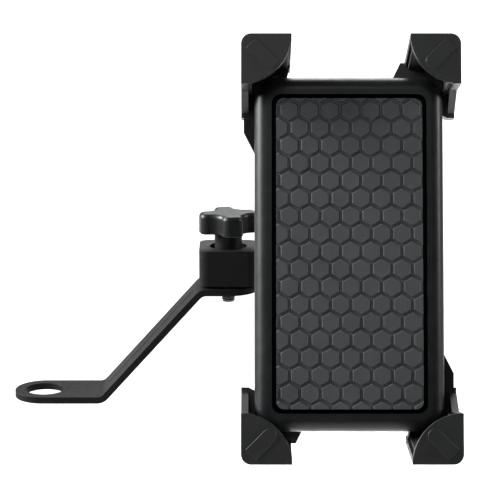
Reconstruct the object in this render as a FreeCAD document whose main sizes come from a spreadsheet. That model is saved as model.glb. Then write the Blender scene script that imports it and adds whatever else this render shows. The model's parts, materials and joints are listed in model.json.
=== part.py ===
"""Phone holder on a mirror-stem bracket for a motorcycle handlebar. Millimetres, +Z up.

The origin is the centre of the mirror-stem hole, on the underside of the bracket's lower tab.
+X runs towards the phone holder and +Y away from the rider's side that faces the screen.
Holder pieces are drawn in the holder's own frame: x right, y back from its front face, z up.
"""
import FreeCAD, Part
import math
import os
import re

import Sketcher
from FreeCAD import Placement, Rotation, Vector

SIZES = {
    # bracket strip
    "strip_width": 22.0,
    "strip_thick": 2.5,
    "mirror_bore": 14.0,
    "crank_start": 22.3,
    "crank_angle": 48.0,
    "tab_height": 40.5,
    "bend_radius": 3.0,
    "groove_width": 1.4,
    "groove_deep": 0.5,
    "groove_from": 0.06,
    "groove_to": 0.93,
    # swivel bolt
    "bolt_x": 68.0,
    "screw_dia": 5.0,
    "screw_below": 4.3,
    "screw_tip": 0.6,
    "nut_across": 8.0,
    "running_gap": 0.05,
    "loose_gap": 0.6,
    "part_gap": 0.3,
    "past": 1.0,
    "lap": 0.5,
    "hair": 0.01,
    "lock_washer_thick": 0.8,
    "lock_washer_dia": 18.0,
    "lock_washer_teeth": 24.0,
    # arm block and beam
    "block_wide": 21.0,
    "block_deep": 20.0,
    "block_tall": 13.0,
    "block_round": 3.6,
    "counterbore_dia": 13.4,
    "counterbore_deep": 3.0,
    "washer_dia": 12.4,
    "washer_thick": 1.0,
    "beam_deep": 14.0,
    "beam_past": 9.0,
    "boss_dia": 17.0,
    "boss_reach": 9.0,
    "arm_reach": 41.4,
    # knob
    "neck_dia": 10.0,
    "knob_gap": 5.2,
    "knob_tall": 7.5,
    "knob_bore_past": 4.0,
    "lobe_span": 21.0,
    "lobe_wide": 7.4,
    "lobe_round": 2.4,
    "valley_round": 4.2,
    "knob_edge": 1.7,
    "knob_turn": 12.0,
    # ball joint
    "holder_lean": 16.8,
    "front_reach": 56.5,
    "ball_back": 35.0,
    "ball_radius": 8.5,
    "stud_neck_dia": 9.0,
    "stud_flange_dia": 14.0,
    "stud_flange_thick": 1.5,
    "stud_tail_dia": 6.0,
    "seat_thick": 1.45,
    "rear_seat_low": -0.5,
    "rear_seat_high": 5.0,
    "front_seat_high": -4.2,
    "socket_dia": 27.0,
    "socket_past": 1.0,
    "socket_flange_dia": 40.0,
    "socket_flange_thick": 3.0,
    "ring_dia": 32.0,
    "ring_low": -6.0,
    "ring_high": 6.5,
    "ring_mouth_dia": 16.7,
    "ring_flutes": 20.0,
    "flute_radius": 1.1,
    "flange_screw_ring": 33.6,
    # holder shell
    "shell_wide": 64.0,
    "shell_tall": 120.0,
    "shell_deep": 8.5,
    "shell_corner": 8.0,
    "shell_edge": 4.5,
    "shell_wall": 3.0,
    "shell_floor": 4.0,
    "recess_wide": 52.3,
    "recess_tall": 107.8,
    "recess_deep": 2.0,
    "recess_round": 3.2,
    "pad_gap": 1.5,
    "tray_inset": 0.5,
    "pad_back": 1.0,
    "pad_proud": 0.5,
    "pad_round": 2.6,
    # back cover
    "cover_front": 15.5,
    "cover_back": 18.5,
    "cover_wide": 60.0,
    "cover_tall": 114.0,
    "cover_cut_x": 15.0,
    "cover_cut_z": 18.0,
    "cover_wall": 3.0,
    "side_wall_high": 36.0,
    "side_wall_low": -17.0,
    "end_wall_far": 14.0,
    "end_wall_near": 9.0,
    "post_dia": 6.6,
    "post_x": 25.8,
    "post_high": 24.0,
    "post_low": -6.0,
    "post_end": 50.5,
    "cover_screw_dia": 3.0,
    "screw_head_dia": 5.4,
    "screw_head_tall": 1.8,
    # rack and pinion
    "gear_teeth": 12.0,
    "gear_pitch_radius": 5.4,
    "gear_rise": 0.9,
    "pinion_front": 8.6,
    "pinion_back": 15.3,
    "rack_angle": 62.9,
    "rack_teeth_in": 6.0,
    "rack_teeth_out": 3.0,
    "rack_plain_start": 14.0,
    "rack_plain_full": 16.0,
    "rack_inner_end": 18.0,
    "rack_outer_end": 64.0,
    "rack_outer_edge": 13.0,
    "rack_front_a": 8.8,
    "rack_front_b": 12.2,
    "rack_thick": 3.0,
    "rack_head_high": 62.8,
    "rack_head_low": 50.0,
    "rack_head_inner": 21.6,
    "rack_head_step": 6.0,
    "rail_gap": 0.3,
    "rail_thick": 1.5,
    "rail_start": -10.0,
    "rail_end": 38.0,
    "axle_dia": 4.0,
    "axle_boss_dia": 8.0,
    "hub_dia": 6.4,
    "hub_front": 5.0,
    "spring_inner": 3.7,
    "spring_pitch": 1.5,
    "spring_turns": 3.0,
    "spring_strip": 0.5,
    # claws, as drawn for the top right corner
    "claw_x": 36.5,
    "claw_z": 71.2,
    "claw_span": 16.8,
    "claw_front": 14.5,
    "lip_thick": 3.0,
    "claw_wall": 2.5,
    "claw_corner": 3.4,
    "claw_slant": 6.2,
    "claw_foot_x": 13.8,
    "claw_foot_tip_x": 18.0,
    "claw_foot_far_x": 21.8,
    "claw_foot_far_tip_x": 19.5,
    "claw_foot_low": 46.0,
    "claw_foot_step": 54.0,
    "claw_foot_inner": 56.5,
    "claw_foot_lip": 1.5,
    "rib_wide": 4.8,
    "rib_reach": 9.4,
    "rib_proud": 0.4,
    "rib_near": 1.6,
    "liner_thick": 1.1,
    "liner_gap": 0.2,
    "liner_inset": 1.0,
    "claw_screw_dia": 3.0,
    "claw_screw_outer_x": 31.0,
    "claw_screw_outer_z": 55.5,
    "claw_screw_inner_x": 24.5,
    "claw_screw_inner_z": 59.2,
}

doc = FreeCAD.newDocument("phone_mount")
sheet = doc.addObject("Spreadsheet::Sheet", "Sizes")
for row, (alias, size) in enumerate(SIZES.items(), 1):
    sheet.set(f"A{row}", alias)
    sheet.set(f"B{row}", str(size))
    sheet.setAlias(f"B{row}", alias)
doc.recompute()

subparts = []


def value(expression):
    """The number that a sheet expression gives."""
    return float(sheet.evalExpression(str(expression)))


def linked(expression):
    """The expression with each alias prefixed by the sheet's name, for use in other objects."""
    return re.sub(rf"\b({'|'.join(SIZES)})\b", r"Sizes.\1", str(expression))


def keep(feature, node, placement=None):
    """Label a finished sub-part and put it in its place in the assembly."""
    feature.Label = node
    if placement is not None:
        feature.Placement = placement
    subparts.append(feature)
    return feature


# --- places -------------------------------------------------------------------------------

bolt_x = value("bolt_x")
block_bottom = "(tab_height + strip_thick + lock_washer_thick)"
block_top = f"({block_bottom} + block_tall)"
arm_axis_z = value(f"{block_bottom} + block_tall / 2")
arm_end = Vector(value("bolt_x + arm_reach"), 0, arm_axis_z)
lean = math.radians(value("holder_lean"))
facing = Vector(0, -math.cos(lean), math.sin(lean))
holder_turn = Rotation(Vector(1, 0, 0), -value("holder_lean"))
holder_place = Placement(arm_end + facing * value("front_reach"), holder_turn)
# the rack and pinion, and the claws on it, sit a little above the holder's middle
gear_place = holder_place.multiply(Placement(Vector(0, 0, value("gear_rise")), Rotation()))
gear_flipped = gear_place.multiply(Placement(Vector(), Rotation(Vector(0, 1, 0), 180)))
ball_centre = arm_end + facing * value("front_reach - ball_back")
# local z of ball-joint primitives points from the holder to the arm, along the holder's y
joint_turn = holder_turn.multiply(Rotation(Vector(1, 0, 0), -90))
joint_place = Placement(ball_centre, joint_turn)
joint_back_face = "(front_reach - ball_back - boss_reach)"


# --- drawing helpers ----------------------------------------------------------------------

def new_body(name):
    return doc.addObject("PartDesign::Body", name)


def plane_sketch(body, name, role, offset="0"):
    """An empty sketch on one of the body's origin planes, moved along the plane's normal."""
    plane = next(f for f in body.Origin.OriginFeatures if f.Role == role)
    sketch = body.newObject("Sketcher::SketchObject", name)
    sketch.AttachmentSupport = (plane, [""])
    sketch.MapMode = "FlatFace"
    sketch.setExpression(".AttachmentOffset.Base.z", linked(offset))
    return sketch


def fix_point(sketch, geometry, end, point):
    """Tie one end of a sketch line, or a circle's centre, to two sheet expressions."""
    rules = (("DistanceX", -2), ("DistanceY", -1))
    for expression, (kind, axis) in zip(point, rules):
        number = value(expression)
        if abs(number) < 1e-9:
            sketch.addConstraint(Sketcher.Constraint("PointOnObject", geometry, end, axis))
        else:
            rule = Sketcher.Constraint(kind, -1, 1, geometry, end, number)
            index = sketch.addConstraint(rule)
            sketch.setExpression(f"Constraints[{index}]", linked(expression))


def polygon(sketch, points):
    """A closed outline whose corners are pairs of sheet expressions."""
    corners = [Vector(value(x), value(y), 0) for x, y in points]
    first = len(sketch.Geometry)
    count = len(corners)
    for i in range(count):
        sketch.addGeometry(Part.LineSegment(corners[i], corners[(i + 1) % count]), False)
    for i in range(count):
        following = first + (i + 1) % count
        sketch.addConstraint(Sketcher.Constraint("Coincident", first + i, 2, following, 1))
    for i in range(count):
        fix_point(sketch, first + i, 1, points[i])


def circle(sketch, centre, radius):
    middle = Vector(value(centre[0]), value(centre[1]), 0)
    index = sketch.addGeometry(Part.Circle(middle, Vector(0, 0, 1), value(radius)), False)
    fix_point(sketch, index, 3, centre)
    rule = sketch.addConstraint(Sketcher.Constraint("Radius", index, value(radius)))
    sketch.setExpression(f"Constraints[{rule}]", linked(radius))


def extrude(body, name, role, draw, start, end, cut=False):
    """Pad or pocket an outline between two coordinates on the axis normal to a plane.

    The XZ plane's normal is -Y, so its outlines are drawn at the far coordinate."""
    backward = role == "XZ_Plane"
    base = end if backward != cut else start
    sketch = plane_sketch(body, f"{name}_sketch", role, f"-({base})" if backward else base)
    draw(sketch)
    kind = "PartDesign::Pocket" if cut else "PartDesign::Pad"
    feature = body.newObject(kind, name)
    feature.Profile = sketch
    feature.Length = value(f"({end}) - ({start})")
    feature.setExpression("Length", linked(f"({end}) - ({start})"))
    return feature


def fillet(body, name, radius, chosen):
    """Round the edges of the body's present shape that the test picks."""
    doc.recompute()
    base = body.Tip
    edges = [f"Edge{i}" for i, edge in enumerate(base.Shape.Edges, 1) if chosen(edge)]
    feature = body.newObject("PartDesign::Fillet", name)
    feature.Base = (base, edges)
    feature.setExpression("Radius", linked(radius))
    doc.recompute()
    return feature


def lies(edge, **limits):
    """Whether an edge's box keeps to the given limits, such as xmin=3, zmax=5."""
    box = edge.BoundBox
    bounds = {"xmin": box.XMin, "xmax": box.XMax, "ymin": box.YMin}
    bounds.update({"ymax": box.YMax, "zmin": box.ZMin, "zmax": box.ZMax})
    tolerance = 1e-4
    for name, limit in limits.items():
        low = name.endswith("min")
        if (low and bounds[name] < limit - tolerance) or (not low and bounds[name] > limit + tolerance):
            return False
    return True


def along(edge, axis):
    """Whether a straight edge runs along the given axis: 0 is X, 1 is Y, 2 is Z."""
    if edge.Curve.TypeId != "Part::GeomLine":
        return False
    return abs(abs(edge.Curve.Direction[axis]) - 1) < 1e-6


def rectangle(left, right, low, high):
    return [(left, low), (right, low), (right, high), (left, high)]


def solid(kind, name, position=(), **sizes):
    """A Part primitive with its sizes, and its position if one is given, bound to the sheet."""
    feature = doc.addObject(f"Part::{kind}", name)
    for key, expression in sizes.items():
        feature.setExpression(key, linked(expression))
    for axis, expression in zip("xyz", position):
        feature.setExpression(f".Placement.Base.{axis}", linked(expression))
    return feature


def fuse(name, features):
    joined = doc.addObject("Part::MultiFuse", name)
    joined.Shapes = features
    return joined


def subtract(name, base, tools):
    tool = tools[0] if len(tools) == 1 else fuse(f"{name}_tools", tools)
    cut = doc.addObject("Part::Cut", name)
    cut.Base = base
    cut.Tool = tool
    return cut


def group(name, features):
    """Identical separate solids kept in one node."""
    together = doc.addObject("Part::Compound", name)
    together.Links = features
    return together


# --- bracket and swivel bolt --------------------------------------------------------------

def make_bracket():
    body = new_body("bracket_body")
    run = "tab_height / tan(crank_angle * 1deg)"
    shift = "strip_thick * tan(crank_angle / 2 * 1deg)"
    tip = "-strip_width / 2"
    far = "bolt_x + strip_width / 2"
    side_view = [
        (tip, "0"),
        ("crank_start", "0"),
        (f"crank_start + {run}", "tab_height"),
        (far, "tab_height"),
        (far, "tab_height + strip_thick"),
        (f"crank_start + {run} - {shift}", "tab_height + strip_thick"),
        (f"crank_start - {shift}", "strip_thick"),
        (tip, "strip_thick"),
    ]
    half = "strip_width / 2"
    extrude(body, "strip", "XZ_Plane", lambda s: polygon(s, side_view), f"-{half}", half)
    inner_x = value("crank_start") + 1
    low = value("tab_height") / 2
    fillet(
        body, "lower_bend_inside", "bend_radius",
        lambda e: along(e, 1) and lies(e, xmin=5, xmax=inner_x, zmin=1, zmax=low),
    )
    fillet(
        body, "upper_bend_inside", "bend_radius",
        lambda e: along(e, 1)
        and lies(e, xmin=inner_x, xmax=bolt_x, zmin=low, zmax=value("tab_height") + 0.1),
    )
    fillet(
        body, "lower_bend_outside", "bend_radius + strip_thick",
        lambda e: along(e, 1) and lies(e, xmin=5, xmax=inner_x, zmin=-0.1, zmax=0.1),
    )
    fillet(
        body, "upper_bend_outside", "bend_radius + strip_thick",
        lambda e: along(e, 1)
        and lies(e, xmin=inner_x, xmax=bolt_x, zmin=value("tab_height + strip_thick")),
    )
    fillet(
        body, "round_ends", "strip_width / 2 - hair",
        lambda e: along(e, 2) and abs(e.BoundBox.YMax) > value(half) - 0.1,
    )
    top = "tab_height + strip_thick"
    extrude(
        body, "mirror_hole", "XY_Plane",
        lambda s: circle(s, ("0", "0"), "mirror_bore / 2"), "-past", "strip_thick + past", cut=True,
    )
    extrude(
        body, "nut_hole", "XY_Plane",
        lambda s: polygon(s, hexagon("bolt_x", "nut_across")), "tab_height - past", f"{top} + past",
        cut=True,
    )
    slope_x = f"crank_start - {shift}"
    deep = "groove_deep / cos(crank_angle * 1deg)"
    groove = [
        (f"{slope_x} + {run} * groove_from", f"strip_thick + tab_height * groove_from - {deep}"),
        (f"{slope_x} + {run} * groove_to", f"strip_thick + tab_height * groove_to - {deep}"),
        (f"{slope_x} + {run} * groove_to", "strip_thick + tab_height * groove_to + 3 * past"),
        (f"{slope_x} + {run} * groove_from", "strip_thick + tab_height * groove_from + 3 * past"),
    ]
    extrude(
        body, "stiffening_groove", "XZ_Plane",
        lambda s: polygon(s, groove), "-groove_width / 2", "groove_width / 2", cut=True,
    )
    keep(body, "bracket")


def hexagon(centre_x, across):
    """Corners of a hexagon with two flats square to X."""
    corner = f"{across} / 2 / cos(30deg)"
    turns = range(30, 390, 60)
    return [
        (f"{centre_x} + {corner} * cos({turn}deg)", f"{corner} * sin({turn}deg)")
        for turn in turns
    ]


def make_press_nut():
    body = new_body("press_nut_body")
    top = "tab_height + strip_thick"
    extrude(
        body, "hexagon", "XY_Plane",
        lambda s: polygon(s, hexagon("bolt_x", "nut_across")), "tab_height", top,
    )
    extrude(
        body, "thread_bore", "XY_Plane",
        lambda s: circle(s, ("bolt_x", "0"), "screw_dia / 2 + running_gap"),
        "tab_height - past", f"{top} + past", cut=True,
    )
    keep(body, "press_nut")


# share of one tooth's turn, and share of the full radius there
TOOTH_STEPS = ((0.0, 0.9), (0.5, 0.9), (0.62, 1.0), (0.88, 1.0))


def make_lock_washer():
    """Toothed disc: the outline steps in and out once for each tooth."""
    teeth = int(value("lock_washer_teeth"))
    radius = value("lock_washer_dia / 2")
    centre = Vector(bolt_x, 0, value("tab_height + strip_thick"))
    points = []
    for tooth in range(teeth):
        for part, scale in TOOTH_STEPS:
            turn = 2 * math.pi * (tooth + part) / teeth
            points.append(centre + Vector(math.cos(turn), math.sin(turn), 0) * radius * scale)
    face = Part.Face(Part.makePolygon(points + points[:1]))
    disc = face.extrude(Vector(0, 0, value("lock_washer_thick")))
    bore = Part.makeCylinder(
        value("screw_dia / 2 + loose_gap"), value("lock_washer_thick + 2 * past"),
        centre - Vector(0, 0, value("past")),
    )
    feature = doc.addObject("Part::Feature", "lock_washer_disc")
    feature.Shape = disc.cut(bore)
    keep(feature, "lock_washer")


def make_knob_screw():
    bottom = "tab_height - screw_below"
    top = f"{block_top} + knob_gap + knob_bore_past"
    rod = solid(
        "Cylinder", "screw_rod", ("bolt_x", "0", bottom),
        Radius="screw_dia / 2", Height=f"{top} - ({bottom})",
    )
    doc.recompute()
    tip = doc.addObject("Part::Chamfer", "screw_tip")
    tip.Base = rod
    lowest = [
        i for i, e in enumerate(rod.Shape.Edges, 1)
        if e.BoundBox.ZMax < value(bottom) + 0.1
    ]
    chamfer = value("screw_tip")
    tip.Edges = [(i, chamfer, chamfer) for i in lowest]
    keep(tip, "knob_screw")


def make_cup_washer():
    floor = f"{block_top} - counterbore_deep"
    disc = solid(
        "Cylinder", "cup_washer_disc", ("bolt_x", "0", floor),
        Radius="washer_dia / 2", Height="washer_thick",
    )
    hole = solid(
        "Cylinder", "cup_washer_hole", ("bolt_x", "0", f"{floor} - past"),
        Radius="screw_dia / 2 + loose_gap", Height="washer_thick + 2 * past",
    )
    keep(subtract("cup_washer_cut", disc, [hole]), "cup_washer")


def make_knob():
    """Four lobes round a core, on a neck that reaches down to the washer."""
    body = new_body("knob_body")
    head_low = f"({block_top} + knob_gap)"
    head_high = f"({head_low} + knob_tall)"
    reach = "lobe_span / 2"
    half = "lobe_wide / 2"
    extrude(
        body, "lobes_across", "XY_Plane",
        lambda s: polygon(s, rectangle(f"-{reach}", reach, f"-{half}", half)),
        head_low, head_high,
    )
    extrude(
        body, "lobes_along", "XY_Plane",
        lambda s: polygon(s, rectangle(f"-{half}", half, f"-{reach}", reach)),
        head_low, head_high,
    )
    outer = value("lobe_span") / 2
    fillet(
        body, "lobe_corners", "lobe_round",
        lambda e: along(e, 2)
        and math.hypot(e.CenterOfMass.x, e.CenterOfMass.y) > outer,
    )
    fillet(
        body, "lobe_valleys", "valley_round",
        lambda e: along(e, 2)
        and math.hypot(e.CenterOfMass.x, e.CenterOfMass.y) < value("lobe_wide"),
    )
    rim = value(head_high)
    fillet(body, "knob_rim", "knob_edge", lambda e: lies(e, zmin=rim, zmax=rim))
    neck_low = f"{block_top} - counterbore_deep + washer_thick"
    extrude(
        body, "neck", "XY_Plane",
        lambda s: circle(s, ("0", "0"), "neck_dia / 2"), neck_low, head_low,
    )
    extrude(
        body, "screw_bore", "XY_Plane",
        lambda s: circle(s, ("0", "0"), "screw_dia / 2"),
        f"{neck_low} - past", f"{head_low} + knob_bore_past", cut=True,
    )
    turn = Rotation(Vector(0, 0, 1), value("knob_turn"))
    keep(body, "knob", Placement(Vector(bolt_x, 0, 0), turn))


# --- arm and ball joint -------------------------------------------------------------------

def make_arm():
    """Block on the swivel bolt, a beam behind the holder and a boss that faces the ball."""
    body = new_body("arm_body")
    left, right = "bolt_x - block_wide / 2", "bolt_x + block_wide / 2"
    deep = "block_deep / 2"
    extrude(
        body, "block", "XY_Plane",
        lambda s: polygon(s, rectangle(left, right, f"-{deep}", deep)), block_bottom, block_top,
    )
    fillet(body, "block_corners", "block_round", lambda e: along(e, 2))
    beam_end = "bolt_x + arm_reach + beam_past"
    half = "beam_deep / 2"
    extrude(
        body, "beam", "XY_Plane",
        lambda s: polygon(s, rectangle("bolt_x", beam_end, f"-{half}", half)),
        block_bottom, block_top,
    )
    fillet(
        body, "beam_end_corners", "block_round",
        lambda e: along(e, 2) and lies(e, xmin=value(beam_end)),
    )
    extrude(
        body, "bolt_bore", "XY_Plane",
        lambda s: circle(s, ("bolt_x", "0"), "screw_dia / 2 + loose_gap"),
        f"{block_bottom} - past", f"{block_top} + past", cut=True,
    )
    extrude(
        body, "counterbore", "XY_Plane",
        lambda s: circle(s, ("bolt_x", "0"), "counterbore_dia / 2"),
        f"{block_top} - counterbore_deep", f"{block_top} + past", cut=True,
    )
    boss = solid("Cylinder", "arm_boss", Radius="boss_dia / 2", Height="boss_reach")
    boss.Placement = joint_place.multiply(Placement(Vector(0, 0, value(joint_back_face)), Rotation()))
    tail = solid("Cylinder", "tail_bore", Radius="stud_tail_dia / 2", Height="boss_reach")
    tail.Placement = boss.Placement
    keep(subtract("arm_bored", fuse("arm_joined", [body, boss]), [tail]), "arm")


def make_ball_stud():
    ball = solid("Sphere", "ball", Radius="ball_radius")
    flange_low = f"{joint_back_face} - stud_flange_thick"
    neck = solid("Cylinder", "stud_neck", Radius="stud_neck_dia / 2", Height=flange_low)
    flange = solid(
        "Cylinder", "stud_flange", ("0", "0", flange_low),
        Radius="stud_flange_dia / 2", Height="stud_flange_thick",
    )
    tail = solid(
        "Cylinder", "stud_tail", ("0", "0", flange_low),
        Radius="stud_tail_dia / 2", Height="boss_reach + stud_flange_thick",
    )
    keep(fuse("ball_stud_joined", [ball, neck, flange, tail]), "ball_stud", joint_place)


def seat(node, low, high):
    """Plastic ring between ball and socket, bounded by two spheres and two planes."""
    inner = "ball_radius + running_gap"
    outer = "ball_radius + seat_thick"
    shell = solid("Sphere", f"{node}_outer", Radius=outer)
    hollow = solid("Sphere", f"{node}_inner", Radius=inner)
    slab = solid(
        "Cylinder", f"{node}_slab", ("0", "0", low),
        Radius="ball_radius * 2", Height=f"({high}) - ({low})",
    )
    ring = doc.addObject("Part::MultiCommon", f"{node}_ring")
    ring.Shapes = [shell, slab]
    keep(subtract(f"{node}_cut", ring, [hollow]), node, joint_place)


def flange_places():
    """Four screws, one in each quarter of the flange."""
    return [
        (f"flange_screw_ring / 2 * cos({turn}deg)", f"flange_screw_ring / 2 * sin({turn}deg)")
        for turn in range(45, 360, 90)
    ]


def make_socket_flange():
    """Threaded cup for the ball seats, on a round flange screwed to the back cover."""
    foot = "cover_back - ball_back"
    flange = solid(
        "Cylinder", "socket_disc", ("0", "0", foot),
        Radius="socket_flange_dia / 2", Height="socket_flange_thick",
    )
    cup = solid(
        "Cylinder", "socket_cup", ("0", "0", foot),
        Radius="socket_dia / 2", Height=f"socket_past - ({foot})",
    )
    cavity = solid("Sphere", "socket_cavity", Radius="ball_radius + seat_thick + running_gap")
    mouth = solid(
        "Cylinder", "socket_mouth",
        Radius="ball_radius + seat_thick + running_gap", Height="socket_past + 5 * past",
    )
    holes = [
        solid(
            "Cylinder", f"socket_hole_{i}", (x, z, f"{foot} - past"),
            Radius="cover_screw_dia / 2", Height="socket_flange_thick + 2 * past",
        )
        for i, (x, z) in enumerate(flange_places())
    ]
    joined = fuse("socket_joined", [flange, cup])
    keep(subtract("socket_cut", joined, [cavity, mouth] + holes), "socket_flange", joint_place)


def make_ring_nut():
    """Fluted nut that pulls the rear seat onto the ball."""
    outside = solid(
        "Cylinder", "ring_outside", ("0", "0", "ring_low"),
        Radius="ring_dia / 2", Height="ring_high - ring_low",
    )
    thread = solid(
        "Cylinder", "ring_thread", ("0", "0", "ring_low - past"),
        Radius="socket_dia / 2 + running_gap", Height="socket_past + part_gap - ring_low + past",
    )
    dome = solid("Sphere", "ring_dome", Radius="ball_radius + seat_thick + running_gap")
    mouth = solid("Cylinder", "ring_mouth", Radius="ring_mouth_dia / 2", Height="ring_high + past")
    count = int(value("ring_flutes"))
    flutes = []
    for i in range(count):
        turn = f"{360 * i / count}deg"
        place = (f"ring_dia / 2 * cos({turn})", f"ring_dia / 2 * sin({turn})", "ring_low - past")
        flutes.append(solid(
            "Cylinder", f"ring_flute_{i}", place,
            Radius="flute_radius", Height="ring_high - ring_low + 2 * past",
        ))
    keep(subtract("ring_cut", outside, [thread, dome, mouth] + flutes), "ring_nut", joint_place)


def pan_screws(node, places, head_low, length, placement):
    """Round-headed screws: the heads start at head_low and the shanks run to the front."""
    screws = []
    for i, (x, z) in enumerate(places):
        head = solid(
            "Cylinder", f"{node}_head_{i}",
            Radius="screw_head_dia / 2", Height="screw_head_tall",
        )
        shank = solid(
            "Cylinder", f"{node}_shank_{i}", ("0", "0", f"-({length})"),
            Radius="cover_screw_dia / 2", Height=length,
        )
        screw = fuse(f"{node}_{i}", [head, shank])
        turn = Rotation(Vector(1, 0, 0), -90)
        screw.Placement = Placement(Vector(value(x), value(head_low), value(z)), turn)
        screws.append(screw)
    keep(group(f"{node}_group", screws), node, placement)


def make_flange_screws():
    pan_screws(
        "flange_screws", flange_places(), "cover_back + socket_flange_thick",
        "socket_flange_thick + cover_back - cover_front", holder_place,
    )


# --- holder shell, pad and cover ----------------------------------------------------------

def box_view(wide, tall):
    return rectangle(f"-{wide} / 2", f"{wide} / 2", f"-{tall} / 2", f"{tall} / 2")


def post_places():
    """Six screw posts: two on each long side and one at each end."""
    return [
        ("post_x", "post_high"), ("post_x", "post_low"),
        ("-post_x", "-post_high"), ("-post_x", "-post_low"),
        ("0", "post_end"), ("0", "-post_end"),
    ]


def rail_outline(left, sign):
    """Straight rail beside a rack's outer edge, as corners in the holder's x and z."""
    ux = f"({'-' if left else ''}cos(rack_angle * 1deg))"
    uz = "sin(rack_angle * 1deg)"
    nx, nz = f"(-{uz})", ux
    corners = []
    near = "rack_outer_edge + rail_gap"
    for reach, side in (
        ("rail_start", near), ("rail_end", near),
        ("rail_end", f"{near} + rail_thick"), ("rail_start", f"{near} + rail_thick"),
    ):
        corners.append((
            f"{sign} * (({reach}) * {ux} + ({side}) * {nx})",
            f"{sign} * (({reach}) * {uz} + ({side}) * {nz}) + gear_rise",
        ))
    return corners


def make_front_shell():
    """Tray-like front half: recess for the pad in front, hollow behind."""
    body = new_body("front_shell_body")
    extrude(
        body, "slab", "XZ_Plane",
        lambda s: polygon(s, box_view("shell_wide", "shell_tall")), "0", "shell_deep",
    )
    fillet(body, "shell_corners", "shell_corner", lambda e: along(e, 1))
    fillet(body, "shell_edges", "shell_edge", lambda e: lies(e, ymax=0))
    extrude(
        body, "pad_recess", "XZ_Plane",
        lambda s: polygon(s, box_view("recess_wide", "recess_tall")), "-past", "recess_deep",
        cut=True,
    )
    reach = value("recess_tall") / 2
    fillet(
        body, "recess_corners", "recess_round",
        lambda e: along(e, 1) and lies(e, ymax=value("recess_deep"), zmax=reach, zmin=-reach),
    )
    inside_wide = "shell_wide - 2 * shell_wall"
    inside_tall = "shell_tall - 2 * shell_wall"
    extrude(
        body, "hollow", "XZ_Plane",
        lambda s: polygon(s, box_view(f"({inside_wide})", f"({inside_tall})")),
        "shell_floor", "shell_deep + past", cut=True,
    )
    for sign in (1, -1):
        extrude(
            body, f"rack_rail_{'up' if sign > 0 else 'down'}", "XZ_Plane",
            lambda s: polygon(s, rail_outline(True, sign)),
            "shell_floor", "rack_front_a + rack_thick",
        )
    for i, place in enumerate(post_places()):
        extrude(
            body, f"post_{i}", "XZ_Plane",
            lambda s: circle(s, place, "post_dia / 2"), "shell_floor - lap", "shell_deep",
        )
    extrude(
        body, "axle_boss", "XZ_Plane",
        lambda s: circle(s, ("0", "gear_rise"), "axle_boss_dia / 2"),
        "shell_floor - lap", "hub_front - part_gap",
    )
    for i, place in enumerate(post_places()):
        extrude(
            body, f"post_bore_{i}", "XZ_Plane",
            lambda s: circle(s, place, "cover_screw_dia / 2"), "shell_floor", "shell_deep + past",
            cut=True,
        )
    extrude(
        body, "axle_socket", "XZ_Plane",
        lambda s: circle(s, ("0", "gear_rise"), "axle_dia / 2"), "shell_floor - past", "shell_deep",
        cut=True,
    )
    keep(body, "front_shell", holder_place)


def make_pad_tray():
    body = new_body("pad_tray_body")
    inset = "2 * (pad_gap + tray_inset)"
    wide, tall = f"(recess_wide - {inset})", f"(recess_tall - {inset})"
    extrude(
        body, "plate", "XZ_Plane",
        lambda s: polygon(s, box_view(wide, tall)), "pad_back", "recess_deep",
    )
    fillet(body, "plate_corners", "recess_round - past", lambda e: along(e, 1))
    keep(body, "pad_tray", holder_place)


def make_pad():
    body = new_body("pad_body")
    wide, tall = "(recess_wide - 2 * pad_gap)", "(recess_tall - 2 * pad_gap)"
    extrude(
        body, "cushion", "XZ_Plane",
        lambda s: polygon(s, box_view(wide, tall)), "-pad_proud", "pad_back",
    )
    fillet(body, "cushion_corners", "pad_round", lambda e: along(e, 1))
    keep(body, "pad", holder_place)


def ordered(sign, first, second):
    """Two coordinates, mirrored if the sign is negative, with the lower first."""
    return sorted([f"{sign} * {first}", f"{sign} * {second}"], key=value)


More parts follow.
